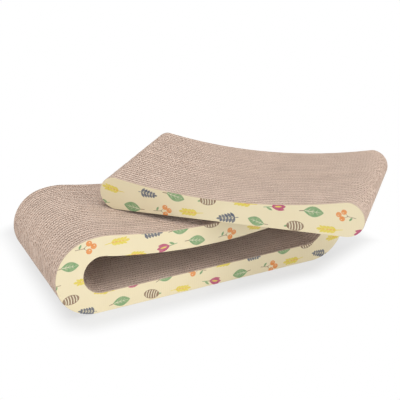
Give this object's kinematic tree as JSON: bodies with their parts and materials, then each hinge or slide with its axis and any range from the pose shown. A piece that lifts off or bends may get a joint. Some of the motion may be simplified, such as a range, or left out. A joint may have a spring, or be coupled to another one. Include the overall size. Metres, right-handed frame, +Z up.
{
  "type": "cat scratcher",
  "caption": "Cat scratcher of stacked corrugated board: a round-ended base with a saddle top and a long slot, and a loose pad of the slot's shape that lies askew on top.",
  "frame": {"origin": "middle of the base's underside, on the floor", "axes": "+Z up, +X along the base's length, the printed front faces -Y"},
  "size_m": [0.5062, 0.409, 0.162],
  "materials": {
    "corrugated_board": "matt brown corrugated board, cut edges with open flutes",
    "printed_paper": "matt cream paper with small printed motifs"
  },
  "bodies": {
    "base": {"base_front_print": "printed_paper", "base_board_01": "corrugated_board", "base_board_02": "corrugated_board", "base_board_03": "corrugated_board", "base_board_04": "corrugated_board", "base_board_05": "corrugated_board", "base_board_06": "corrugated_board", "base_board_07": "corrugated_board", "base_board_08": "corrugated_board", "base_board_09": "corrugated_board", "base_board_10": "corrugated_board", "base_board_11": "corrugated_board", "base_board_12": "corrugated_board", "base_board_13": "corrugated_board", "base_board_14": "corrugated_board", "base_board_15": "corrugated_board", "base_board_16": "corrugated_board", "base_board_17": "corrugated_board", "base_board_18": "corrugated_board", "base_board_19": "corrugated_board", "base_board_20": "corrugated_board", "base_board_21": "corrugated_board", "base_board_22": "corrugated_board", "base_board_23": "corrugated_board", "base_board_24": "corrugated_board", "base_board_25": "corrugated_board", "base_board_26": "corrugated_board", "base_board_27": "corrugated_board", "base_board_28": "corrugated_board", "base_board_29": "corrugated_board", "base_board_30": "corrugated_board", "base_board_31": "corrugated_board", "base_board_32": "corrugated_board", "base_board_33": "corrugated_board", "base_back_print": "printed_paper"},
    "pad": {"pad_front_print": "printed_paper", "pad_boards_01_03": "corrugated_board", "pad_boards_04_06": "corrugated_board", "pad_boards_07_09": "corrugated_board", "pad_boards_10_12": "corrugated_board", "pad_boards_13_15": "corrugated_board", "pad_boards_16_18": "corrugated_board", "pad_boards_19_21": "corrugated_board", "pad_boards_22_24": "corrugated_board", "pad_boards_25_27": "corrugated_board", "pad_boards_28_30": "corrugated_board", "pad_boards_31_33": "corrugated_board", "pad_back_print": "printed_paper"}
  },
  "joints": [
    {"name": "pad_lift", "type": "slide", "parent": "base", "child": "pad", "axis": [0, 0, 1], "range_m": [0, 0.2]}
  ]
}
